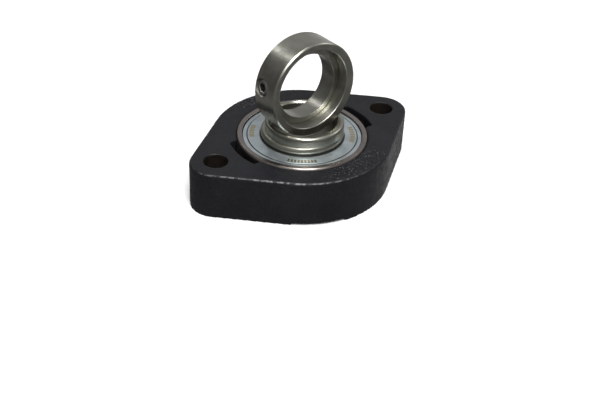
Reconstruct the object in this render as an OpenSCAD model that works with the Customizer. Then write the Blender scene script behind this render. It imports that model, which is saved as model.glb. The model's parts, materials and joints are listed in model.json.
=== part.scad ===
// Two-bolt flange bearing unit: a rhombic cast housing, a self-aligning insert ball bearing
// and its loose eccentric locking collar. Millimetres. +Z is the bearing axis and z = 0 is the
// mounting face. X runs through the two bolt holes.

/* [Housing] */
// Distance between the two bolt holes
bolt_spacing = 76; // [76:0.1:77]
// Diameter of each bolt hole
bolt_hole_d = 9; // [7:0.5:10]
// Radius of the rounded end around each bolt hole
lobe_r = 9.8; // [8:0.1:12]
// Radius of the middle of the flange
centre_r = 34.5; // [33:0.1:38]
// Thickness of the casting
thickness = 18.5; // [18:0.1:19]
// Rounding of the upper edge
edge_r = 0.9; // [0.3:0.1:1.5]
// Width of the two loading slots beside the seat
slot_w = 17.4; // [15.4:0.2:20]
// Outer radius of the two loading slots
slot_r = 28.3; // [26.8:0.1:29]

/* [Insert bearing] */
// Height of the spherical seat's centre above the mounting face
seat_z = 11.2; // [10.6:0.1:11.4]
// Shaft bore of the inner ring and of the collar
bore_d = 25; // [24:0.5:25.4]
// Diameter of the spherical outside of the outer ring
outside_d = 52; // [51.8:0.1:52.2]
// Width of the outer ring
outer_w = 15; // [14.6:0.1:15.2]
// Diameter of each ball
ball_d = 7.938; // [7.5:0.001:8.2]
// Diameter of the circle the ball centres run on
pitch_d = 39.04; // [38.6:0.02:39.4]

/* [Locking collar] */
// Outside diameter of the collar
collar_d = 37.2; // [36:0.1:38.1]
// Width of the collar
collar_w = 12.4; // [12:0.1:13.5]
// How far the locking recess and the inner ring's cam sit off centre
cam_offset = 0.7; // [0.3:0.1:0.8]
// Height of the standing collar's centre above the mounting face
collar_z = 39.5; // [39.5:0.1:60]

/* [Hidden] */
$fn = 96;
eps = 0.01;
half_w = outer_w / 2;
bore_r = bore_d / 2;
ball_r = ball_d / 2;
pitch_r = pitch_d / 2;
outside_r = outside_d / 2;
ball_count = 9;
seat_gap = 0.05;
seat_chamfer = 0.4;
race_gap = 0.015;
groove_r = ball_r * 1.04;

// Outer ring
outer_land_r = 22;
seal_seat_r = 23;
seal_seat_depth = 2.3;

// Inner ring: a middle land, a neck under each seal, a wider band, then the cam on the upper end
land_r = 17;
land_half = 4.6;
neck_r = 15.4;
band_r = 15.9;
band_low = 7.1;
band_slope = 0.9;
band_top = 9.9;
cam_r = 15.1;
cam_top = 13.9;
cam_angle = -35;
rim_r = 0.7;
mouth_r = bore_r + 0.9;
mouth_h = 0.8;
relief_r = bore_r + 0.3;
relief_from = 9;
bore_chamfer = 0.7;

// Cage: a crown that holds the balls from below
cage_inner_r = 17.7;
cage_outer_r = 21.3;
cage_low = -5;
cage_high = 1.5;
pocket_gap = 0.1;

// Seals, as heights from the ring's middle plane
shield_r = 22.95;
inner_washer_low = 5.4;
lip_low = 5.8;
washer_low = 6.5;
washer_high = 7;
step_r = 21.1;
step_drop = 0.2;
washer_hole_r = 16.3;
lip_gap = 0.05;
lip_outer_r = 22.4;
inner_washer_hole_r = 17.4;

// Collar, in its own frame: +Z out of the locking recess, standing on edge in the bore's mouth
collar_chamfer = 0.6;
collar_bore_r = bore_r + 0.05;
recess_r = cam_r + 0.25;
recess_depth = 4.8;
recess_angle = 225;
collar_x = 0.3;
collar_lean = 2;
collar_turn = -87.3;

// Set screw, M6, in a radial hole through the collar's thick half
screw_r = 2.95;
screw_hole_r = 3;
screw_angle = 260;
screw_along = -2;
screw_out = 18.1;
screw_in = 12.7;
hex_across_flats = 3;
hex_depth = 2.6;
cup_r = 1.5;
cup_depth = 0.7;

// Flange: the tangent between a lobe and the middle circle leaves at this angle from X
bolt_x = bolt_spacing / 2;
tangent_angle = acos((centre_r - lobe_r) / bolt_x);
tangent_length = sqrt(pow(bolt_x, 2) - pow(centre_r - lobe_r, 2));
notch_from = -129.5;
notch_to = -95.5;
notch_h = 0.8;
notch_depth = 2.5;

iron = [0.16, 0.17, 0.19];
steel = [0.55, 0.56, 0.54];
zinc = [0.70, 0.74, 0.76];
rubber = [0.08, 0.08, 0.08];
nylon = [0.80, 0.75, 0.60];

// Half of the casting's section: a block with its upper outer corner rounded
module edge_section(radius) {
  square([radius - edge_r, thickness]);
  square([radius, thickness - edge_r]);
  translate([radius - edge_r, thickness - edge_r]) circle(edge_r);
}

module rounded_disc(radius) {
  rotate_extrude() {
    intersection() {
      edge_section(radius);
      square([radius, thickness]);
    }
  }
}

// A straight flank from the middle circle to a lobe, along the line that touches both
module flank() {
  rotate([0, 0, tangent_angle]) {
    translate([centre_r - lobe_r, 0, 0]) {
      rotate([90, 0, 0]) linear_extrude(tangent_length) edge_section(lobe_r);
    }
  }
}

module flange_block() {
  rounded_disc(centre_r);
  for (side = [0, 180]) {
    rotate([0, 0, side]) {
      translate([bolt_x, 0, 0]) rounded_disc(lobe_r);
      flank();
      mirror([0, 1, 0]) flank();
    }
  }
}

// The shallow step along part of the base edge
module base_notch() {
  notch_points = [
    for (i = [0 : 6]) let (a = notch_from + (notch_to - notch_from) * i / 6)
      [centre_r * 1.1 * cos(a), centre_r * 1.1 * sin(a)]
  ];
  difference() {
    translate([0, 0, -1]) linear_extrude(notch_h + 1) polygon(concat([[0, 0]], notch_points));
    translate([0, 0, -2]) cylinder(h = notch_h + 4, r = centre_r - notch_depth);
  }
}

// Seat for the insert, chamfered at its mouth, with the two slots the insert is turned in through
module seat_space() {
  chamfer_z = thickness - seat_chamfer;
  mouth = sqrt(pow(outside_r + seat_gap, 2) - pow(chamfer_z - seat_z, 2));
  translate([0, 0, seat_z]) sphere(outside_r + seat_gap);
  translate([0, 0, chamfer_z]) cylinder(h = 2, r1 = mouth, r2 = mouth + 2);
  intersection() {
    translate([0, 0, seat_z]) cylinder(h = thickness, r = slot_r);
    translate([-slot_r - 1, -slot_w / 2, seat_z]) cube([2 * slot_r + 2, slot_w, thickness]);
  }
}

module housing() {
  color(iron) difference() {
    flange_block();
    seat_space();
    for (x = [-bolt_x, bolt_x]) {
      translate([x, 0, -1]) cylinder(h = thickness + 2, d = bolt_hole_d);
    }
    base_notch();
  }
}

module outer_ring() {
  color(steel) translate([0, 0, seat_z]) rotate_extrude() difference() {
    intersection() {
      circle(outside_r);
      translate([outer_land_r, -half_w]) square([outside_r, outer_w]);
    }
    translate([pitch_r + ball_r + race_gap - groove_r, 0]) circle(groove_r);
    for (side = [-1, 1]) {
      translate([0, side * half_w]) {
        translate([0, side > 0 ? -seal_seat_depth : -1]) {
          square([seal_seat_r, seal_seat_depth + 1]);
        }
      }
    }
  }
}

// The cam's section, from the band up, with its outer rim rounded
module cam_section() {
  translate([0, band_top - 1]) square([cam_r, cam_top - band_top + 1 - rim_r]);
  translate([0, band_top]) square([cam_r - rim_r, cam_top - band_top]);
  translate([cam_r - rim_r, cam_top - rim_r]) circle(rim_r);
}

module inner_ring_blank() {
  rotate_extrude() difference() {
    union() {
      translate([0, -land_half]) square([land_r, 2 * land_half]);
      translate([0, -half_w]) square([neck_r, half_w + band_low]);
      polygon([
        [0, 0],
        [neck_r, 0],
        [neck_r, band_low],
        [band_r, band_low + band_slope],
        [band_r, band_top],
        [0, band_top]
      ]);
    }
    translate([pitch_r - ball_r - race_gap + groove_r, 0]) circle(groove_r);
  }
  rotate([0, 0, cam_angle]) translate([cam_offset, 0, 0]) rotate_extrude() intersection() {
    cam_section();
    square([cam_r, cam_top]);
  }
}

// Shaft bore: a chamfer behind, a slightly wider lead-in and a wide mouth in front
module bore_space() {
  rotate_extrude() polygon([
    [0, -half_w - 1],
    [bore_r + bore_chamfer + 1, -half_w - 1],
    [bore_r, -half_w + bore_chamfer],
    [bore_r, relief_from],
    [relief_r, relief_from],
    [relief_r, cam_top - mouth_h],
    [mouth_r, cam_top],
    [mouth_r, cam_top + 1],
    [0, cam_top + 1]
  ]);
}

module inner_ring() {
  color(steel) translate([0, 0, seat_z]) difference() {
    inner_ring_blank();
    bore_space();
  }
}

module place_ball(number) {
  rotate([0, 0, (number - 1) * 360 / ball_count]) translate([pitch_r, 0, seat_z]) children();
}

module ball(number) {
  color(steel) place_ball(number) sphere(ball_r);
}

module cage() {
  color(nylon) difference() {
    translate([0, 0, seat_z + cage_low]) difference() {
      cylinder(h = cage_high - cage_low, r = cage_outer_r);
      translate([0, 0, -1]) cylinder(h = cage_high - cage_low + 2, r = cage_inner_r);
    }
    for (number = [1 : ball_count]) place_ball(number) sphere(ball_r + pocket_gap);
  }
}

// Puts a seal on the upper side, or mirrors it to the lower side
module seal_side(front) {
  translate([0, 0, seat_z]) mirror([0, 0, front ? 0 : 1]) children();
}

module washer(low, high, hole_r, radius) {
  translate([0, 0, low]) difference() {
    cylinder(h = high - low, r = radius);
    translate([0, 0, -1]) cylinder(h = high - low + 2, r = hole_r);
  }
}

// Outer steel shield, with its rim set a little lower than the middle
module shield(front) {
  color(zinc) seal_side(front) union() {
    washer(washer_low, washer_high, washer_hole_r, step_r);
    washer(washer_low, washer_high - step_drop, step_r - eps, shield_r);
  }
}

module seal_lip(front) {
  color(rubber) seal_side(front) washer(lip_low, washer_low, neck_r + lip_gap, lip_outer_r);
}

module seal_washer(front) {
  color(zinc) seal_side(front) washer(inner_washer_low, lip_low, inner_washer_hole_r, shield_r);
}

module stand_collar() {
  translate([collar_x, 0, collar_z]) rotate([0, 90 - collar_lean, collar_turn]) children();
}

// Radial direction of the set screw, in the collar's own frame
module along_screw() {
  translate([0, 0, screw_along]) rotate([0, 0, screw_angle]) rotate([0, 90, 0]) children();
}

module collar_blank() {
  r = collar_d / 2;
  h = collar_w / 2;
  rotate_extrude() polygon([
    [collar_bore_r, -h],
    [r - collar_chamfer, -h],
    [r, -h + collar_chamfer],
    [r, h - collar_chamfer],
    [r - collar_chamfer, h],
    [collar_bore_r, h]
  ]);
}

module locking_collar() {
  color(steel) stand_collar() difference() {
    collar_blank();
    rotate([0, 0, recess_angle]) translate([cam_offset, 0, collar_w / 2 - recess_depth]) {
      cylinder(h = recess_depth + 1, r = recess_r);
    }
    along_screw() translate([0, 0, bore_r - 3]) cylinder(h = collar_d / 2, r = screw_hole_r);
  }
}

module set_screw() {
  color(steel) stand_collar() along_screw() difference() {
    translate([0, 0, screw_in]) cylinder(h = screw_out - screw_in, r = screw_r);
    translate([0, 0, screw_out - hex_depth]) linear_extrude(hex_depth + 1) {
      circle(r = hex_across_flats / sqrt(3), $fn = 6);
    }
    translate([0, 0, screw_in - eps]) cylinder(h = cup_depth, r1 = cup_r, r2 = 0.3);
  }
}

housing();
outer_ring();
inner_ring();
cage();
ball(1);  // ball_1
ball(2);  // ball_2
ball(3);  // ball_3
ball(4);  // ball_4
ball(5);  // ball_5
ball(6);  // ball_6
ball(7);  // ball_7
ball(8);  // ball_8
ball(9);  // ball_9
shield(true);  // front_shield
seal_lip(true);  // front_lip
seal_washer(true);  // front_washer
shield(false);  // rear_shield
seal_lip(false);  // rear_lip
seal_washer(false);  // rear_washer
locking_collar();
set_screw();
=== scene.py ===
"""Looks for the two-bolt flange bearing unit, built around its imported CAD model.

Sizes are in millimetres until they reach a mesh. Heights of the insert's pieces are counted
from the outer ring's middle plane, as a bearing drawing does.
"""

import json
import math

import bmesh
import bpy
from mathutils import Matrix, Vector, noise

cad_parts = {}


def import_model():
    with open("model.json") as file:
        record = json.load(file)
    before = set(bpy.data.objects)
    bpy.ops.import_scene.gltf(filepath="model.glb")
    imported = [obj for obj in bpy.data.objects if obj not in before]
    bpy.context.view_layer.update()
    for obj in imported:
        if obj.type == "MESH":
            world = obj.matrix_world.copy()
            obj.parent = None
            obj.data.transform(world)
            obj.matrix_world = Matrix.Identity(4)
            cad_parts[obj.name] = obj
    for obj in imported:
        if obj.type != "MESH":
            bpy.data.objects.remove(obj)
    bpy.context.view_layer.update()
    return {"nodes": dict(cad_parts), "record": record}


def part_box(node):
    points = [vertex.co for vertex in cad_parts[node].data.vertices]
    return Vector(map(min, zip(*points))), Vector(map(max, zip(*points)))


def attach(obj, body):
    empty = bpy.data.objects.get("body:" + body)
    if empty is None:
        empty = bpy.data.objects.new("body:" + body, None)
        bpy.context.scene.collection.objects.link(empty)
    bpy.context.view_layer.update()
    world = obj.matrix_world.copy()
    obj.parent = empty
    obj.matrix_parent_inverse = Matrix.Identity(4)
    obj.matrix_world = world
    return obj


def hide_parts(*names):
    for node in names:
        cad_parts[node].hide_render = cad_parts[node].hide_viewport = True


MM = 0.001
TURN = 2 * math.pi
STEPS = 160

# Housing
BOLT_X = 38.0
BOLT_HOLE_R = 4.5
LOBE_R = 9.8
CENTRE_R = 34.5
SEAT_R = 26.05
MOUTH_GAP_R = 25.25
MOUTH_GAP_DEPTH = 0.45
CAST_VOXEL = 0.4
BASE_FROM = 0.5
FINE_RELIEF = 0.022
BROAD_RELIEF = 0.05
COARSE_RELIEF = 0.2
FLANK_SHARE = 0.65
# Where the top is rough: X and Y of the middle, then the spread along each
ROUGH_PATCHES = (
    (12.0, -27.5, 8.0, 5.0),
    (0.0, -29.5, 9.0, 4.0),
    (-6.0, 30.5, 5.0, 4.0),
)

# Insert
SEAT_Z = 11.2
HALF_W = 7.5
SPHERE_R = 26.0
SEAL_SEAT_R = 23.0
SEAL_SEAT_DEPTH = 2.3
OUTER_LAND_R = 22.0
BALL_R = 3.969
PITCH_R = 19.52
RACE_GAP = 0.015
GROOVE_R = BALL_R * 1.04
LAND_R = 17.0
LAND_HALF = 4.6
NECK_R = 15.4
BAND_R = 15.9
BAND_LOW = 7.1
BAND_SLOPE = 0.9
BAND_TOP = 9.9
CAM_R = 15.1
CAM_TOP = 13.9
CAM_ANGLE = math.radians(-35)
CAM_OFFSET = 0.7
BORE_R = 12.5
RELIEF_R = 12.8
RELIEF_FROM = 9.0
MOUTH_R = 13.4
MOUTH_H = 0.8
SHIELD_HOLE_R = 16.3
SHIELD_R = 22.95
SHIELD_LOW = 6.5
SHIELD_HIGH = 7.0
SHIELD_STEP_R = 21.1
SHIELD_STEP_DROP = 0.2
SHIELD_CURL = 0.22
CREASE_DEPTH = 0.22

# Index ticks on the shields: middle in degrees, ticks on each side of it, and colour
TICK_INNER_R = 18.3
TICK_OUTER_R = 20.3
TICK_PITCH = 3.7
TICK_GROUPS = (
    (143, 3, (0.31, 0.24, 0.09)),
    (-32, 4, (0.31, 0.24, 0.09)),
    (-124, 4, (0.11, 0.085, 0.04)),
)

# Locking collar, in its own frame: +Z out of the recess
COLLAR_R = 18.6
COLLAR_HALF = 6.2
COLLAR_BORE_R = 12.55
COLLAR_CHAMFER = 0.6
RECESS_R = 15.35
RECESS_DEPTH = 4.8
RECESS_ANGLE = math.radians(225)
COLLAR_PLACE = Vector((0.3, 0.0, 39.5))
COLLAR_LEAN = math.radians(2)
COLLAR_TURN = math.radians(-87.3)

# Set screw
SCREW_R = 2.95
SCREW_HOLE_R = 3.0
SCREW_ANGLE = math.radians(260)
SCREW_ALONG = -2.0
SCREW_OUT = 18.1
SCREW_IN = 12.7
HEX_HALF = 1.5
HEX_DEPTH = 2.6
THREAD_PITCH = 1.0
THREAD_DEPTH = 0.45

# Turned steels: dark and light colour, roughness, size of a turning mark, and its strength
RING_STEEL = ((0.23, 0.205, 0.192), (0.33, 0.30, 0.283), 0.28, 0.4, 0.03)
INNER_STEEL = ((0.27, 0.268, 0.225), (0.37, 0.365, 0.315), 0.31, 0.5, 0.01)
SCREW_STEEL = ((0.24, 0.24, 0.23), (0.36, 0.36, 0.34), 0.28, 0.12, 0.25)

# Studio. Directions are an azimuth, 0 towards -Y and 90 towards +X, and an elevation
FLOOR_HALF = 3000.0
SKY_LOW = 0.22
SKY_HIGH = 0.29
# Paler and dimmer sides of the sky: direction, the cosine where each begins, and its strength
SKY_SIDES = (
    ((145, 22), 0.45, 0.17),
    ((-140, 12), 0.7, -0.12),
    ((122, -32), 0.6, 0.4),
)
# Lights: azimuth, elevation, distance and width in metres, and power in watts
LIGHTS = {
    "back_light": (-164, 40, 0.9, 0.14, 0.32),
    "front_light": (-24, 54, 1.0, 0.46, 10.5),
    "top_light": (-20, 82, 1.2, 0.5, 7.0),
    "right_light": (80, 35, 1.1, 0.4, 1.2),
}
# The camera, fitted to the holes, the rings and the outline
CAMERA_LENS = 61.86
CAMERA_PLACE = Vector((-193.708, -275.282, 225.439))
CAMERA_SIDE = (-35.184, 35.294)
CAMERA_ROLL = math.radians(2.543)


# ---------------------------------------------------------------- mesh building


def rounded(outline, steps=4):
    """The (radius, height, shift) points of an outline whose corners carry a rounding size."""
    points = []
    for index, (*corner, size) in enumerate(outline):
        if size == 0:
            points.append(tuple(corner))
            continue
        corner = Vector(corner)
        before = Vector(outline[index - 1][:3]) - corner
        after = Vector(outline[(index + 1) % len(outline)][:3]) - corner
        start = corner + before * size / before.xy.length
        end = corner + after * size / after.xy.length
        for step in range(steps + 1):
            t = step / steps
            points.append(tuple(start * (1 - t) ** 2 + corner * 2 * t * (1 - t) + end * t**2))
    return points


def loft(name, rings, closed=True):
    """A mesh object through rings of equally many points, in millimetres."""
    bm = bmesh.new()
    loops = [[bm.verts.new(Vector(p) * MM) for p in ring] for ring in rings]
    following = loops[1:] + loops[:1] if closed else loops[1:]
    for lower, upper in zip(loops, following):
        for i in range(len(lower)):
            j = (i + 1) % len(lower)
            bm.faces.new((lower[i], lower[j], upper[j], upper[i]))
    bmesh.ops.remove_doubles(bm, verts=bm.verts, dist=1e-7)
    bmesh.ops.recalc_face_normals(bm, faces=bm.faces)
    mesh = bpy.data.meshes.new(name)
    bm.to_mesh(mesh)
    bm.free()
    obj = bpy.data.objects.new(name, mesh)
    bpy.context.scene.collection.objects.link(obj)
    return obj


def circle(radius, height, centre=(0.0, 0.0), steps=STEPS):
    """The points of one level circle."""
    return [
        (
            centre[0] + radius * math.cos(TURN * i / steps),
            centre[1] + radius * math.sin(TURN * i / steps),
            height,
        )
        for i in range(steps)
    ]


def lathe(name, points, height=0.0, offset=(0.0, 0.0), steps=STEPS):
    """Turns (radius, height, shift) points about Z. Each circle moves by shift times offset."""
    rings = [
        circle(radius, height + level, (offset[0] * shift, offset[1] * shift), steps)
        for radius, level, shift in points
    ]
    return loft(name, rings)


def smooth(obj, sharp_degrees=35):
    """Smooth shading that keeps flat faces flat and sharp corners sharp."""
    obj.data.shade_smooth()
    obj.data.set_sharp_from_angle(angle=math.radians(sharp_degrees))
    weighted = obj.modifiers.new("flat_faces", "WEIGHTED_NORMAL")
    weighted.weight = 100
    weighted.keep_sharp = True
    return obj


def bake(obj):
    """Replaces an object's mesh with the result of its modifiers."""
    graph = bpy.context.evaluated_depsgraph_get()
    mesh = bpy.data.meshes.new_from_object(obj.evaluated_get(graph))
    obj.modifiers.clear()
    obj.data = mesh


def cut(obj, cutter):
    """Cuts the cutter's solid out of the object."""
    modifier = obj.modifiers.new("cut", "BOOLEAN")
    modifier.object = cutter
    modifier.operation = "DIFFERENCE"
    modifier.solver = "EXACT"
    bake(obj)
    bpy.data.objects.remove(cutter)


def arc(centre_r, radius, first, last, steps, outward):
    """Raceway points from the first height to the last, on a circle about centre_r."""
    points = []
    for step in range(steps + 1):
        level = first + (last - first) * step / steps
        reach = math.sqrt(max(radius**2 - level**2, 0.0))
        points.append((centre_r + (reach if outward else -reach), level, 0.0))
    return points


# ---------------------------------------------------------------- housing


def flange_distance(x, y):
    """How far a point lies outside the flange's outline, below 0 inside it."""
    x, y = abs(x), abs(y)
    cosine = (CENTRE_R - LOBE_R) / BOLT_X
    sine = math.sqrt(1 - cosine**2)
    along = x * sine - y * cosine
    if along < 0:
        return math.hypot(x, y) - CENTRE_R
    if along > BOLT_X * sine:
        return math.hypot(x - BOLT_X, y) - LOBE_R
    return x * cosine + y * sine - CENTRE_R


def bell(value, centre, width):
    """1 at the centre, and close to 0 beyond twice the width."""
    return math.exp(-(((value - centre) / width) ** 2))


def step_up(value, low, high):
    """Rises smoothly from 0 at low to 1 at high."""
    t = min(max((value - low) / (high - low), 0.0), 1.0)
    return t * t * (3 - 2 * t)


def coarse_share(x, y, z, top):
    """How rough the casting is at a point, from 0 to 1: in the patches and on the right flank."""
    share = max(bell(x, px, wide) * bell(y, py, deep) for px, py, wide, deep in ROUGH_PATCHES)
    wall = step_up(flange_distance(x, y), -1.6, -0.3)
    end_flank = step_up(x, 20.0, 34.0) * wall * step_up(top - z, 0.4, 2.0)
    return max(share * (1 - wall), FLANK_SHARE * end_flank)


def cast_relief(point, top):
    """Height of the casting's sand texture at a point. Base, seat and bolt holes stay true."""
    x, y, z = point
    if z < BASE_FROM or Vector((x, y, z - SEAT_Z)).length < SEAT_R + 0.35:
        return 0.0
    for side in (-1, 1):
        if math.hypot(x - side * BOLT_X, y) < BOLT_HOLE_R + 0.3:
            return 0.0
    fine = noise.fractal(Vector(point) / 1.1, 1.0, 2.0, 2)
    broad = noise.noise(Vector(point) / 9.0)
    pits = noise.fractal(Vector(point) / 1.1 + Vector((7.0, 3.0, 5.0)), 0.8, 2.2, 2)
    share = coarse_share(x, y, z, top)
    return FINE_RELIEF * fine + BROAD_RELIEF * broad + COARSE_RELIEF * share * pits


def worn_mouth(point, top):
    """How far the seat's worn mouth lies below the top face, as a dark gap round the outer ring."""
    x, y, z = point
    clear = step_up(math.hypot(x, y, z - SEAT_Z), SEAT_R + 0.15, SEAT_R + 0.5)
    share = bell(math.hypot(x, y), MOUTH_GAP_R, 0.4) * step_up(z, top - 1.2, top - 0.2)
    return MOUTH_GAP_DEPTH * share * clear


def soften(mesh, passes=2):
    """Rounds every edge a little, above the flat base."""
    bm = bmesh.new()
    bm.from_mesh(mesh)
    low_edge = 0.3 * MM
    movable = [v for v in bm.verts if v.co.z > low_edge]
    for _ in range(passes):
        bmesh.ops.smooth_vert(
            bm, verts=movable, factor=0.5, use_axis_x=True, use_axis_y=True, use_axis_z=True
        )
    bm.to_mesh(mesh)
    bm.free()


def add_skin(mesh, top):
    """Gives the casting its relief, and marks where it is chipped (with a painted highlight on the
    front-left top edge), coarse or bare.
    """
    wear_and_highlight_layer = mesh.attributes.new("edge_wear_and_highlight", "FLOAT", "POINT")
    rough = mesh.attributes.new("coarse", "FLOAT", "POINT")
    bare = mesh.attributes.new("bare_metal", "FLOAT", "POINT")
    normals = [v.normal.copy() for v in mesh.vertices]
    for vertex, normal in zip(mesh.vertices, normals):
        point = tuple(c / MM for c in vertex.co)
        x, y, z = point
        outside = flange_distance(x, y)
        # Edge wear, partly a painted highlight: the top edge is marked lighter, most of all on the
        # front-left, which faces the camera and the front light.
        edge = bell(outside, -0.3, 0.36) * bell(z, top - 0.3, 0.4)
        front_left_highlight = bell(math.degrees(math.atan2(y, x)), -135.0, 42.0)
        wear_and_highlight_layer.data[vertex.index].value = edge * (0.25 + 0.75 * front_left_highlight)
        rough.data[vertex.index].value = coarse_share(x, y, z, top)
        in_hole = max(
            step_up(BOLT_HOLE_R + 0.25 - math.hypot(x - side * BOLT_X, y), 0.0, 0.3)
            for side in (-1, 1)
        )
        in_seat = step_up(SEAT_R + 0.25 - Vector((x, y, z - SEAT_Z)).length, 0.0, 0.2)
        bare.data[vertex.index].value = max(in_hole, in_seat)
        vertex.co += normal * cast_relief(point, top) * MM
        vertex.co.z -= worn_mouth(point, top) * MM


def build_housing(frame):
    """The casting: the CAD shape with softened edges and a sand-cast skin."""
    source = frame["nodes"]["housing"]
    obj = bpy.data.objects.new("cast_housing", source.data.copy())
    bpy.context.scene.collection.objects.link(obj)
    remesh = obj.modifiers.new("skin", "REMESH")
    remesh.mode = "VOXEL"
    remesh.voxel_size = CAST_VOXEL * MM
    bake(obj)
    obj.data.materials.clear()
    soften(obj.data)
    add_skin(obj.data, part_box("housing")[1].z / MM)
    obj.data.shade_smooth()
    return obj


# ---------------------------------------------------------------- insert


def build_outer_ring():
    """The outer ring: spherical outside, raceway and the two seal seats inside."""
    reach = math.sqrt(SPHERE_R**2 - HALF_W**2)
    sphere = [
        (math.sqrt(SPHERE_R**2 - level**2), level, 0.0)
        for level in [HALF_W * (-1 + 2 * i / 24) for i in range(1, 24)]
    ]
    groove_centre = PITCH_R + BALL_R + RACE_GAP - GROOVE_R
    groove_half = math.sqrt(GROOVE_R**2 - (OUTER_LAND_R - groove_centre) ** 2)
    groove = arc(groove_centre, GROOVE_R, groove_half, -groove_half, 16, True)
    seat = HALF_W - SEAL_SEAT_DEPTH
    upper = rounded(
        [
            (reach, HALF_W, 0.0, 0.3),
            (SEAL_SEAT_R, HALF_W, 0.0, 0.3),
            (SEAL_SEAT_R, seat, 0.0, 0.05),
            (OUTER_LAND_R, seat, 0.0, 0.05),
        ]
    )
    lower = [(r, -level, shift) for r, level, shift in reversed(upper)]
    return smooth(lathe("ground_outer_ring", sphere + upper + groove + lower, SEAT_Z))


def build_inner_ring():
    """The inner ring: land, neck, off-centre cam and the shaft bore."""
    groove_centre = PITCH_R - BALL_R - RACE_GAP + GROOVE_R
    groove_half = math.sqrt(GROOVE_R**2 - (groove_centre - LAND_R) ** 2)
    groove = arc(groove_centre, GROOVE_R, -groove_half, groove_half, 16, False)
    below = rounded(
        [
            (BORE_R, -HALF_W + 0.7, 0.0, 0.1),
            (BORE_R + 0.7, -HALF_W, 0.0, 0.1),
            (NECK_R, -HALF_W, 0.0, 0.3),
            (NECK_R, -LAND_HALF, 0.0, 0.0),
            (LAND_R, -LAND_HALF, 0.0, 0.1),
        ]
    )
    above = rounded(
        [
            (LAND_R, LAND_HALF, 0.0, 0.1),
            (NECK_R, LAND_HALF, 0.0, 0.0),
            (NECK_R, BAND_LOW, 0.0, 0.2),
            (BAND_R, BAND_LOW + BAND_SLOPE, 0.0, 0.4),
            (BAND_R, BAND_TOP - 1.0, 0.0, 0.45),
            (BAND_R - 0.5, BAND_TOP - 0.05, 0.4, 0.25),
            (CAM_R, BAND_TOP, 1.0, 0.05),
            (CAM_R, CAM_TOP, 1.0, 1.45),
            (MOUTH_R, CAM_TOP, 0.0, 0.2),
            (RELIEF_R, CAM_TOP - MOUTH_H, 0.0, 0.12),
            (RELIEF_R, RELIEF_FROM, 0.0, 0.05),
            (BORE_R, RELIEF_FROM - 0.1, 0.0, 0.0),
        ],
        steps=6,
    )
    offset = (CAM_OFFSET * math.cos(CAM_ANGLE), CAM_OFFSET * math.sin(CAM_ANGLE))
    return smooth(lathe("ground_inner_ring", below + groove + above, SEAT_Z, offset))


def build_shield(name, side):
    """A pressed zinc-plated shield: flat middle, a fine crease and a lowered rim."""
    rim = SHIELD_HIGH - SHIELD_STEP_DROP
    points = rounded(
        [
            (SHIELD_HOLE_R, SHIELD_LOW, 0.0, 0.08),
            (SHIELD_R, SHIELD_LOW, 0.0, 0.05),
            (SHIELD_R, rim - SHIELD_CURL, 0.0, 0.08),
            (SHIELD_R - SHIELD_CURL, rim, 0.0, 0.15),
            (SHIELD_STEP_R + 0.25, rim, 0.0, 0.05),
            (SHIELD_STEP_R + 0.1, rim - CREASE_DEPTH, 0.0, 0.03),
            (SHIELD_STEP_R - 0.1, rim - CREASE_DEPTH, 0.0, 0.03),
            (SHIELD_STEP_R - 0.25, SHIELD_HIGH, 0.0, 0.1),
            (SHIELD_HOLE_R, SHIELD_HIGH, 0.0, 0.15),
        ]
    )
    return smooth(lathe(name, [(r, side * z, s) for r, z, s in points], SEAT_Z))


# ---------------------------------------------------------------- collar and set screw


def collar_matrix():
    """Where the standing collar's own frame is, in the row frame."""
    turn = Matrix.Rotation(COLLAR_TURN, 4, "Z")
    lean = Matrix.Rotation(math.pi / 2 - COLLAR_LEAN, 4, "Y")
    return Matrix.Translation(COLLAR_PLACE * MM) @ turn @ lean


def screw_matrix():
    """The set screw's frame inside the collar's: +Z radially outwards."""
    outward = Matrix.Rotation(SCREW_ANGLE, 4, "Z") @ Matrix.Rotation(math.pi / 2, 4, "Y")
    return Matrix.Translation((0, 0, SCREW_ALONG * MM)) @ outward


def build_collar():
    """The eccentric locking collar, with its off-centre recess and the set screw's hole."""
    floor = COLLAR_HALF - RECESS_DEPTH
    points = rounded(
        [
            (COLLAR_BORE_R, -COLLAR_HALF, 0.0, 0.35),
            (COLLAR_R - COLLAR_CHAMFER, -COLLAR_HALF, 0.0, 0.15),
            (COLLAR_R, -COLLAR_HALF + COLLAR_CHAMFER, 0.0, 0.15),
            (COLLAR_R, COLLAR_HALF - COLLAR_CHAMFER, 0.0, 0.2),
            (COLLAR_R - COLLAR_CHAMFER, COLLAR_HALF, 0.0, 0.2),
            (RECESS_R + 0.3, COLLAR_HALF, 1.0, 0.1),
            (RECESS_R, COLLAR_HALF - 0.3, 1.0, 0.1),
            (RECESS_R, floor + 0.35, 1.0, 0.04),
            (RECESS_R + 0.22, floor + 0.3, 1.0, 0.04),
            (RECESS_R + 0.22, floor, 1.0, 0.04),
            (COLLAR_BORE_R, floor, 0.0, 0.25),
        ]
    )
    offset = (CAM_OFFSET * math.cos(RECESS_ANGLE), CAM_OFFSET * math.sin(RECESS_ANGLE))
    collar = lathe("turned_locking_collar", points, 0.0, offset, 192)
    mouth = SCREW_HOLE_R + 0.45
    drill = lathe(
        "screw_drill",
        [
            (0.0, BORE_R - 3, 0.0),
            (SCREW_HOLE_R, BORE_R - 3, 0.0),
            (SCREW_HOLE_R, COLLAR_R - 0.75, 0.0),
            (mouth, COLLAR_R - 0.3, 0.0),
            (mouth + 1.0, COLLAR_R + 0.7, 0.0),
            (0.0, COLLAR_R + 0.7, 0.0),
        ],
        steps=64,
    )
    drill.matrix_world = screw_matrix()
    cut(collar, drill)
    collar.matrix_world = collar_matrix()
    return smooth(collar, 30)


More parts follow.
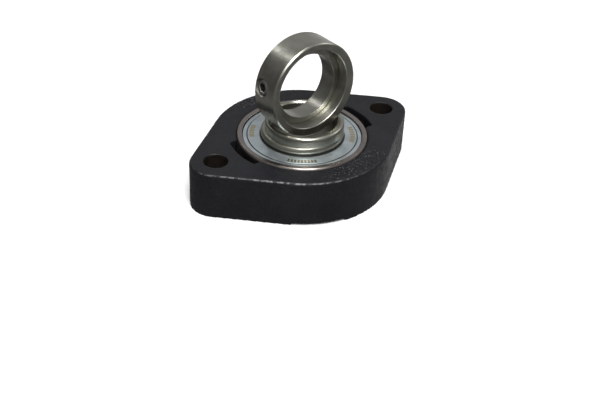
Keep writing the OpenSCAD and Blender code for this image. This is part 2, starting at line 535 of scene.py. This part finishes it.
def thread_ring(level, steps):
    """One ring of the thread, whose crest climbs one pitch in each turn."""
    ring = []
    for i in range(steps):
        phase = (level / THREAD_PITCH - i / steps) % 1.0
        radius = SCREW_R - THREAD_DEPTH * abs(2 * phase - 1)
        angle = TURN * i / steps
        ring.append((radius * math.cos(angle), radius * math.sin(angle), level))
    return ring


def hex_ring(half, level, steps):
    """A hexagon with the same number of points as the circles round it."""
    ring = []
    for i in range(steps):
        angle = TURN * i / steps
        within = angle % (TURN / 6) - TURN / 12
        radius = half / math.cos(within)
        ring.append((radius * math.cos(angle), radius * math.sin(angle), level))
    return ring


def build_screw():
    """A cup-point socket set screw with a real helical thread."""
    steps = 72
    core = SCREW_R - THREAD_DEPTH
    face_r = SCREW_R - 0.4
    rings = [
        circle(0.0, SCREW_IN + 0.7, steps=steps),
        circle(1.5, SCREW_IN, steps=steps),
        circle(1.9, SCREW_IN + 0.05, steps=steps),
        circle(core, SCREW_IN + 0.6, steps=steps),
    ]
    thread_low = SCREW_IN + 0.7
    thread_high = SCREW_OUT - 0.5
    levels = 44
    for i in range(levels + 1):
        rings.append(thread_ring(thread_low + (thread_high - thread_low) * i / levels, steps))
    rings += [
        circle(SCREW_R, SCREW_OUT - 0.38, steps=steps),
        circle(face_r + 0.06, SCREW_OUT - 0.04, steps=steps),
        circle(face_r, SCREW_OUT, steps=steps),
        hex_ring(HEX_HALF + 0.14, SCREW_OUT, steps),
        hex_ring(HEX_HALF, SCREW_OUT - 0.16, steps),
        hex_ring(HEX_HALF, SCREW_OUT - HEX_DEPTH, steps),
        circle(0.0, SCREW_OUT - HEX_DEPTH - 0.5, steps=steps),
    ]
    screw = loft("socket_set_screw", rings, closed=False)
    screw.matrix_world = collar_matrix() @ screw_matrix()
    return smooth(screw, 28)


# ---------------------------------------------------------------- materials


class Shading:
    """A material's node tree, with short names for the nodes these finishes are made of."""

    def __init__(self, name, color, metallic, roughness):
        self.material = bpy.data.materials.new(name)
        self.material.use_nodes = True
        self.tree = self.material.node_tree
        self.shader = self.tree.nodes["Principled BSDF"]
        self.shader.inputs["Base Color"].default_value = (*color, 1)
        self.shader.inputs["Metallic"].default_value = metallic
        self.shader.inputs["Roughness"].default_value = roughness
        self.place = self.tree.nodes.new("ShaderNodeTexCoord").outputs["Object"]

    def link(self, source, target):
        self.tree.links.new(source, target)

    def math(self, operation, first, second=0.0, third=0.0):
        node = self.tree.nodes.new("ShaderNodeMath")
        node.operation = operation
        for socket, value in zip(node.inputs, (first, second, third)):
            if isinstance(value, (int, float)):
                socket.default_value = value
            else:
                self.link(value, socket)
        return node.outputs[0]

    def attribute(self, name):
        node = self.tree.nodes.new("ShaderNodeAttribute")
        node.attribute_name = name
        return node.outputs["Fac"]

    def noise(self, size_mm, detail=3.0, rough=0.55, vector=None):
        """Noise whose features are about size_mm across."""
        node = self.tree.nodes.new("ShaderNodeTexNoise")
        node.inputs["Scale"].default_value = 1 / (size_mm * MM)
        node.inputs["Detail"].default_value = detail
        node.inputs["Roughness"].default_value = rough
        self.link(vector or self.place, node.inputs["Vector"])
        return node.outputs["Fac"]

    def span(self, value, from_low, from_high, to_low=0.0, to_high=1.0):
        """Maps one range smoothly onto another, and clamps it."""
        node = self.tree.nodes.new("ShaderNodeMapRange")
        node.interpolation_type = "SMOOTHSTEP"
        for name, number in (
            ("From Min", from_low),
            ("From Max", from_high),
            ("To Min", to_low),
            ("To Max", to_high),
        ):
            node.inputs[name].default_value = number
        self.link(value, node.inputs["Value"])
        return node.outputs["Result"]

    def blend(self, share, first, second):
        """Mixes two colours, each a tuple or a socket."""
        node = self.tree.nodes.new("ShaderNodeMix")
        node.data_type = "RGBA"
        self.link(share, node.inputs["Factor"])
        for socket, value in zip((node.inputs[6], node.inputs[7]), (first, second)):
            if isinstance(value, tuple):
                socket.default_value = (*value, 1)
            else:
                self.link(value, socket)
        return node.outputs[2]

    def axes(self):
        node = self.tree.nodes.new("ShaderNodeSeparateXYZ")
        self.link(self.place, node.inputs[0])
        return node.outputs[0], node.outputs[1], node.outputs[2]

    def join(self, x, y, z):
        node = self.tree.nodes.new("ShaderNodeCombineXYZ")
        for socket, value in zip(node.inputs, (x, y, z)):
            if isinstance(value, (int, float)):
                socket.default_value = value
            else:
                self.link(value, socket)
        return node.outputs[0]

    def turned(self):
        """A vector that hardly changes round a turned part, so noise on it makes lathe marks."""
        x, y, z = self.axes()
        square = self.math("ADD", self.math("MULTIPLY", x, x), self.math("MULTIPLY", y, y))
        radius = self.math("SQRT", square)
        drift = self.math("MULTIPLY", x, 0.004)
        return self.join(radius, z, drift)

    def bump(self, height, strength, depth_mm):
        node = self.tree.nodes.new("ShaderNodeBump")
        node.inputs["Strength"].default_value = strength
        node.inputs["Distance"].default_value = depth_mm * MM
        self.link(height, node.inputs["Height"])
        self.link(node.outputs["Normal"], self.shader.inputs["Normal"])

    def color(self, value):
        self.link(value, self.shader.inputs["Base Color"])

    def roughness(self, value):
        self.link(value, self.shader.inputs["Roughness"])


def casting_paint():
    """Blue-black paint over sand-cast iron, chipped on the upper edge with a painted highlight
    along it, darker in rough patches with painted glints in them.
    """
    s = Shading("casting_paint", (0.018, 0.019, 0.023), 0.0, 0.5)
    cloud = s.span(s.noise(14.0, 4.0), 0.3, 0.7)
    base = s.blend(cloud, (0.0035, 0.0037, 0.0055), (0.006, 0.0063, 0.0085))
    grain = s.span(s.noise(0.7, 3.0, 0.6), 0.35, 0.75)
    speckled = s.blend(s.math("MULTIPLY", grain, 0.5), base, (0.011, 0.0115, 0.014))
    coarse = s.attribute("coarse")
    patches = s.span(coarse, 0.12, 0.6)
    # Darker in the rough patches and on the right flank.
    patch_darkened = s.blend(s.math("MULTIPLY", patches, 0.6), speckled, (0.002, 0.002, 0.003))
    # Painted glints: pale grey dots in the rough patches and on the right flank stand in for
    # highlights off the sand-cast relief.
    painted_glints = s.math("MULTIPLY", s.span(s.noise(0.45, 2.0, 0.5), 0.64, 0.72), patches)
    with_painted_glints = s.blend(painted_glints, patch_darkened, (0.3, 0.3, 0.31))
    iron = s.blend(s.noise(2.0, 4.0), (0.002, 0.0017, 0.0015), (0.016, 0.011, 0.008))
    holed = s.blend(s.attribute("bare_metal"), with_painted_glints, iron)
    # Chipped paint on the top edge, and partly a painted highlight: the edge is lighter where it
    # faces the camera and the front light.
    broken = s.span(s.noise(1.8, 4.0, 0.6), 0.32, 0.6)
    wear_and_highlight_share = s.math("MULTIPLY", s.attribute("edge_wear_and_highlight"), broken)
    chipped_and_highlit = s.blend(s.span(wear_and_highlight_share, 0.2, 0.85), holed, (0.15, 0.15, 0.155))
    flecks = s.span(s.noise(2.6, 1.0, 0.3), 0.84, 0.86)
    s.color(s.blend(s.math("MULTIPLY", flecks, 0.5), chipped_and_highlit, (0.35, 0.33, 0.28)))
    s.shader.inputs["Specular IOR Level"].default_value = 0.27
    s.roughness(s.span(s.noise(3.0, 3.0), 0.3, 0.7, 0.42, 0.58))
    skin = s.math("ADD", s.noise(0.45, 3.0, 0.6), s.math("MULTIPLY", s.noise(1.3, 2.0), 1.5))
    s.bump(skin, 0.35, 0.05)
    return s.material


def turned_steel(name, dark, light, roughness, mark_mm, strength):
    """Turned or ground steel: fine marks round the axis, and slightly uneven oil and tarnish."""
    s = Shading(name, dark, 1.0, roughness)
    marks = s.noise(mark_mm, 2.0, 0.6, s.turned())
    cloud = s.noise(6.0, 3.0)
    mixed = s.math("ADD", s.math("MULTIPLY", marks, 0.4), s.math("MULTIPLY", cloud, 0.6))
    s.color(s.blend(s.span(mixed, 0.3, 0.7), dark, light))
    s.roughness(s.span(s.noise(5.0, 1.0), 0.3, 0.7, roughness - 0.02, roughness + 0.03))
    s.bump(marks, strength, 0.02)
    return s.material


def tumbled_steel():
    """The collar's satin steel: turned, then tumbled, so that it glitters where light grazes it."""
    dark, light = (0.26, 0.256, 0.222), (0.37, 0.365, 0.325)
    s = Shading("collar_steel", dark, 1.0, 0.34)
    marks = s.noise(0.25, 2.0, 0.6, s.turned())
    cloud = s.noise(5.0, 4.0)
    mixed = s.math("ADD", s.math("MULTIPLY", marks, 0.35), s.math("MULTIPLY", cloud, 0.65))
    s.color(s.blend(s.span(mixed, 0.3, 0.7), dark, light))
    s.roughness(s.span(s.noise(4.0, 2.0), 0.3, 0.7, 0.29, 0.37))
    patches = s.span(s.noise(7.0, 2.0), 0.5, 0.62)
    dents = s.math("MULTIPLY", s.noise(0.55, 1.0, 0.5), s.math("ADD", patches, 0.2))
    s.bump(s.math("ADD", dents, s.math("MULTIPLY", marks, 0.1)), 0.2, 0.03)
    return s.material


def shield_zinc():
    """Bluish zinc plate, with painted shade in the crease and at the rim by the outer ring, and
    three groups of plain golden-brown index ticks.
    """
    s = Shading("shield_zinc", (0.44, 0.48, 0.50), 0.85, 0.34)
    cloud = s.span(s.noise(5.0, 4.0), 0.3, 0.7)
    plate = s.blend(cloud, (0.37, 0.415, 0.44), (0.48, 0.535, 0.56))
    x, y, _ = s.axes()
    square = s.math("ADD", s.math("MULTIPLY", x, x), s.math("MULTIPLY", y, y))
    radius = s.math("MULTIPLY", s.math("SQRT", square), 1 / MM)
    angle = s.math("MULTIPLY", s.math("ARCTAN2", y, x), 180 / math.pi)
    # Painted shade: the crease and the rim next to the outer ring are darkened where shadow falls
    # in the grooves.
    from_crease = s.math("ABSOLUTE", s.math("SUBTRACT", radius, SHIELD_STEP_R))
    crease = s.span(from_crease, 0.15, 0.3, 1.0, 0.0)
    rim = s.span(radius, SHIELD_R - 0.4, SHIELD_R - 0.15)
    painted_groove_shade = s.math("MAXIMUM", rim, s.math("MULTIPLY", crease, 0.75))
    surface = s.blend(painted_groove_shade, plate, (0.03, 0.028, 0.025))
    inside = s.span(radius, TICK_INNER_R, TICK_INNER_R + 0.15)
    outside = s.span(radius, TICK_OUTER_R - 0.15, TICK_OUTER_R, 1.0, 0.0)
    band = s.math("MULTIPLY", inside, outside)
    for middle, each_side, ink in TICK_GROUPS:
        away = s.math("ABSOLUTE", s.math("SUBTRACT", angle, middle))
        limit = (each_side + 0.5) * TICK_PITCH
        group = s.math("MULTIPLY", band, s.math("LESS_THAN", away, limit))
        tick = s.span(s.math("PINGPONG", away, TICK_PITCH / 2), 1.1, 1.35, 0.9, 0.0)
        surface = s.blend(s.math("MULTIPLY", group, tick), surface, ink)
    s.color(surface)
    marks = s.noise(0.18, 2.0, 0.6, s.turned())
    s.roughness(s.span(s.noise(2.0, 4.0), 0.3, 0.7, 0.3, 0.44))
    s.bump(marks, 0.2, 0.015)
    return s.material


def seal_rubber():
    """Black nitrile rubber with a faint mould bloom."""
    s = Shading("seal_rubber", (0.012, 0.012, 0.012), 0.0, 0.6)
    s.color(s.blend(s.noise(1.5, 4.0), (0.008, 0.008, 0.008), (0.02, 0.02, 0.019)))
    s.roughness(s.span(s.noise(0.8, 3.0), 0.3, 0.7, 0.5, 0.7))
    s.bump(s.noise(0.2, 3.0), 0.2, 0.02)
    return s.material


def cage_nylon():
    """Natural moulded nylon, a little mottled and greasy."""
    s = Shading("cage_nylon", (0.62, 0.54, 0.38), 0.0, 0.45)
    s.color(s.blend(s.span(s.noise(4.0, 4.0), 0.3, 0.7), (0.55, 0.46, 0.31), (0.70, 0.62, 0.46)))
    s.roughness(s.span(s.noise(1.5, 3.0), 0.3, 0.7, 0.3, 0.55))
    s.bump(s.noise(0.4, 3.0), 0.15, 0.02)
    return s.material


def ball_steel():
    """Polished bearing steel with the faintest grinding haze."""
    s = Shading("ball_steel", (0.66, 0.66, 0.67), 1.0, 0.08)
    s.color(s.blend(s.noise(3.0, 3.0), (0.60, 0.60, 0.61), (0.70, 0.70, 0.70)))
    s.roughness(s.span(s.noise(1.0, 4.0), 0.3, 0.7, 0.05, 0.13))
    s.bump(s.noise(0.15, 2.0), 0.05, 0.005)
    return s.material


def floor_paint():
    """A plain pale studio floor."""
    s = Shading("floor_paint", (0.86, 0.86, 0.86), 0.0, 0.65)
    s.color(s.blend(s.noise(180.0, 2.0), (0.85, 0.85, 0.85), (0.87, 0.87, 0.87)))
    s.bump(s.noise(3.0, 2.0), 0.05, 0.02)
    return s.material


def paint(obj, material):
    """Gives an object one material."""
    obj.data.materials.clear()
    obj.data.materials.append(material)


# ---------------------------------------------------------------- studio


def build_floor():
    """A wide floor. Metal doesn't mirror it, so that the pale floor doesn't bleach the steel."""
    rows = 5
    lines = [FLOOR_HALF * (2 * i / rows - 1) * MM for i in range(rows + 1)]
    bm = bmesh.new()
    grid = [[bm.verts.new((x, y, 0)) for x in lines] for y in lines]
    for j in range(rows):
        for i in range(rows):
            bm.faces.new((grid[j][i], grid[j][i + 1], grid[j + 1][i + 1], grid[j + 1][i]))
    mesh = bpy.data.meshes.new("studio_floor")
    bm.to_mesh(mesh)
    bm.free()
    floor = bpy.data.objects.new("studio_floor", mesh)
    bpy.context.scene.collection.objects.link(floor)
    paint(floor, floor_paint())
    floor.visible_glossy = False


def direction(azimuth, elevation):
    """Unit vector towards a place round the object."""
    a, e = math.radians(azimuth), math.radians(elevation)
    return Vector((math.sin(a) * math.cos(e), -math.cos(a) * math.cos(e), math.sin(e)))


def softbox(name, azimuth, elevation, distance, width, power):
    """A white round lamp that faces the object."""
    light = bpy.data.lights.new(name, "AREA")
    light.shape = "DISK"
    light.size = width
    light.energy = power
    obj = bpy.data.objects.new(name, light)
    towards = direction(azimuth, elevation)
    obj.location = Vector((0, 0, 0.02)) + towards * distance
    obj.rotation_mode = "QUATERNION"
    obj.rotation_quaternion = towards.to_track_quat("Z", "Y")
    bpy.context.scene.collection.objects.link(obj)


def build_sky():
    """Soft studio surroundings: dim near the floor and paler above, with pale and dim sides."""
    world = bpy.data.worlds.new("studio")
    bpy.context.scene.world = world
    world.use_nodes = True
    tree = world.node_tree
    background = tree.nodes["Background"]
    place = tree.nodes.new("ShaderNodeTexCoord").outputs["Generated"]
    split = tree.nodes.new("ShaderNodeSeparateXYZ")
    tree.links.new(place, split.inputs[0])
    height = tree.nodes.new("ShaderNodeMapRange")
    height.inputs["From Min"].default_value = 0.0
    height.inputs["From Max"].default_value = 0.6
    height.inputs["To Min"].default_value = SKY_LOW
    height.inputs["To Max"].default_value = SKY_HIGH
    tree.links.new(split.outputs["Z"], height.inputs["Value"])
    strength = height.outputs["Result"]
    for towards, spread, gain in SKY_SIDES:
        facing = tree.nodes.new("ShaderNodeVectorMath")
        facing.operation = "DOT_PRODUCT"
        facing.inputs[1].default_value = direction(*towards)
        tree.links.new(place, facing.inputs[0])
        side = tree.nodes.new("ShaderNodeMapRange")
        side.interpolation_type = "SMOOTHSTEP"
        side.inputs["From Min"].default_value = spread
        side.inputs["From Max"].default_value = 1.0
        side.inputs["To Max"].default_value = gain
        tree.links.new(facing.outputs["Value"], side.inputs["Value"])
        total = tree.nodes.new("ShaderNodeMath")
        tree.links.new(strength, total.inputs[0])
        tree.links.new(side.outputs["Result"], total.inputs[1])
        strength = total.outputs[0]
    tree.links.new(strength, background.inputs["Strength"])
    background.inputs["Color"].default_value = (1, 1, 1, 1)


def build_camera():
    """The camera, turned to look along its side and rolled about its line of sight."""
    camera = bpy.data.cameras.new("camera")
    camera.sensor_width = 36.0
    camera.lens = CAMERA_LENS
    camera.clip_start = 0.01
    camera.clip_end = 20.0
    obj = bpy.data.objects.new("camera", camera)
    back = direction(*CAMERA_SIDE)
    level = Vector((-back.y, back.x, 0)).normalized()
    upright = back.cross(level)
    right = level * math.cos(CAMERA_ROLL) + upright * math.sin(CAMERA_ROLL)
    up = upright * math.cos(CAMERA_ROLL) - level * math.sin(CAMERA_ROLL)
    matrix = Matrix((right, up, back)).transposed().to_4x4()
    matrix.translation = CAMERA_PLACE * MM
    obj.matrix_world = matrix
    bpy.context.scene.collection.objects.link(obj)
    bpy.context.scene.camera = obj


# ---------------------------------------------------------------- assembly


def add_piece(obj, body, node, material):
    """One visible piece: its finish, the CAD body it moves with and the node it stands for."""
    paint(obj, material)
    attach(obj, body)
    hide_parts(node)


def main():
    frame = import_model()
    finishes = {
        "casting_paint": casting_paint(),
        "ring_steel": turned_steel("ring_steel", *RING_STEEL),
        "inner_steel": turned_steel("inner_steel", *INNER_STEEL),
        "shield_zinc": shield_zinc(),
        "seal_rubber": seal_rubber(),
        "cage_nylon": cage_nylon(),
        "ball_steel": ball_steel(),
        "collar_steel": tumbled_steel(),
        "screw_steel": turned_steel("screw_steel", *SCREW_STEEL),
    }
    for part in frame["record"]["subparts"]:
        paint(frame["nodes"][part["node"]], finishes[part["material_slot"]])
    pieces = (
        (build_housing(frame), "housing", "housing", "casting_paint"),
        (build_outer_ring(), "insert", "outer_ring", "ring_steel"),
        (build_inner_ring(), "inner_ring", "inner_ring", "inner_steel"),
        (build_shield("pressed_front_shield", 1), "insert", "front_shield", "shield_zinc"),
        (build_shield("pressed_rear_shield", -1), "insert", "rear_shield", "shield_zinc"),
        (build_collar(), "locking_collar", "locking_collar", "collar_steel"),
        (build_screw(), "set_screw", "set_screw", "screw_steel"),
    )
    for obj, body, node, slot in pieces:
        add_piece(obj, body, node, finishes[slot])
    build_floor()
    build_sky()
    for name, place in LIGHTS.items():
        softbox(name, *place)
    build_camera()
    bpy.context.scene.view_settings.view_transform = "Standard"


main()
